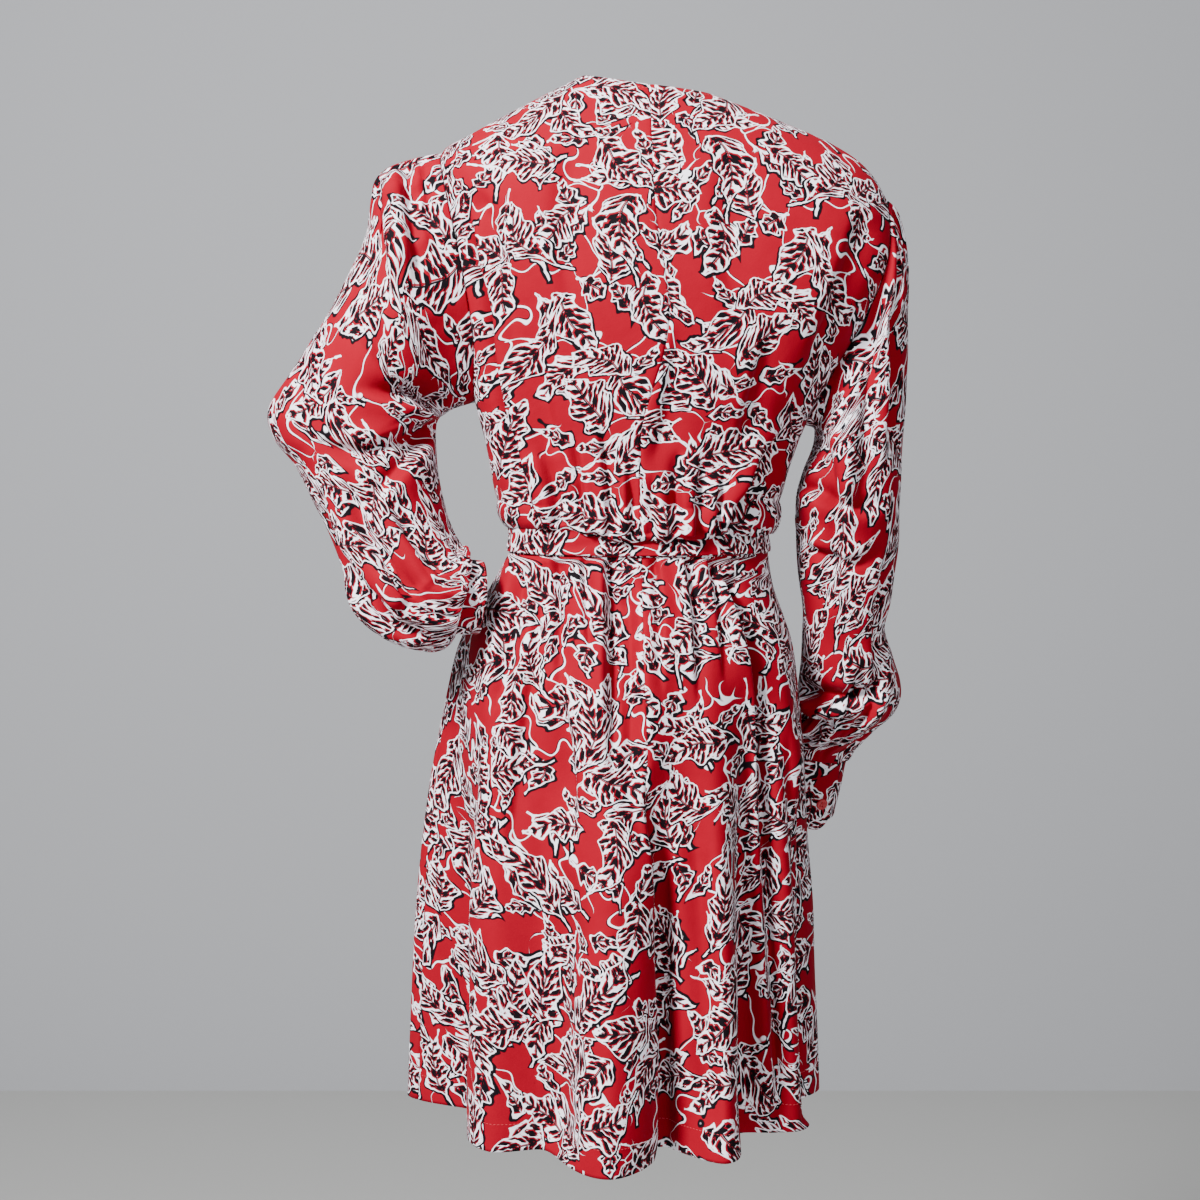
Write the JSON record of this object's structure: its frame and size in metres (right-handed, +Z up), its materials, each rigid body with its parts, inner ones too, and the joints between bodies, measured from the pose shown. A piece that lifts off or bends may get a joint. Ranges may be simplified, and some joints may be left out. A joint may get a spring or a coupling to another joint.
{
  "type": "wrap dress",
  "caption": "Knee-length wrap dress with bishop sleeves, deep buttoned cuffs and a tie belt, hollow and held in a standing pose with one hand on the hip.",
  "frame": {"origin": "middle of the neck opening at the height of the nape, where the dress hangs from its wearer's shoulders", "axes": "+Z up, -Y to the front of the dress, +X to its wearer's left (the side of the bent arm)"},
  "size_m": [0.6176, 0.3811, 0.9918],
  "materials": {
    "print_cloth": "soft crepe, slight sheen, printed",
    "button": "polished"
  },
  "bodies": {
    "root": {"bodice_back_left": "print_cloth", "bodice_back_right": "print_cloth", "bodice_front_right": "print_cloth", "bodice_front_left": "print_cloth", "skirt_back_left": "print_cloth", "skirt_back_right": "print_cloth", "skirt_front_right": "print_cloth", "skirt_front_left": "print_cloth", "sleeve_left": "print_cloth", "sleeve_right": "print_cloth", "cuff_left": "print_cloth", "cuff_right": "print_cloth", "belt_band": "print_cloth", "belt_knot": "print_cloth", "belt_end_a": "print_cloth", "belt_end_b": "print_cloth", "cuff_button_left": "button", "cuff_button_right": "button"}
  },
  "joints": []
}
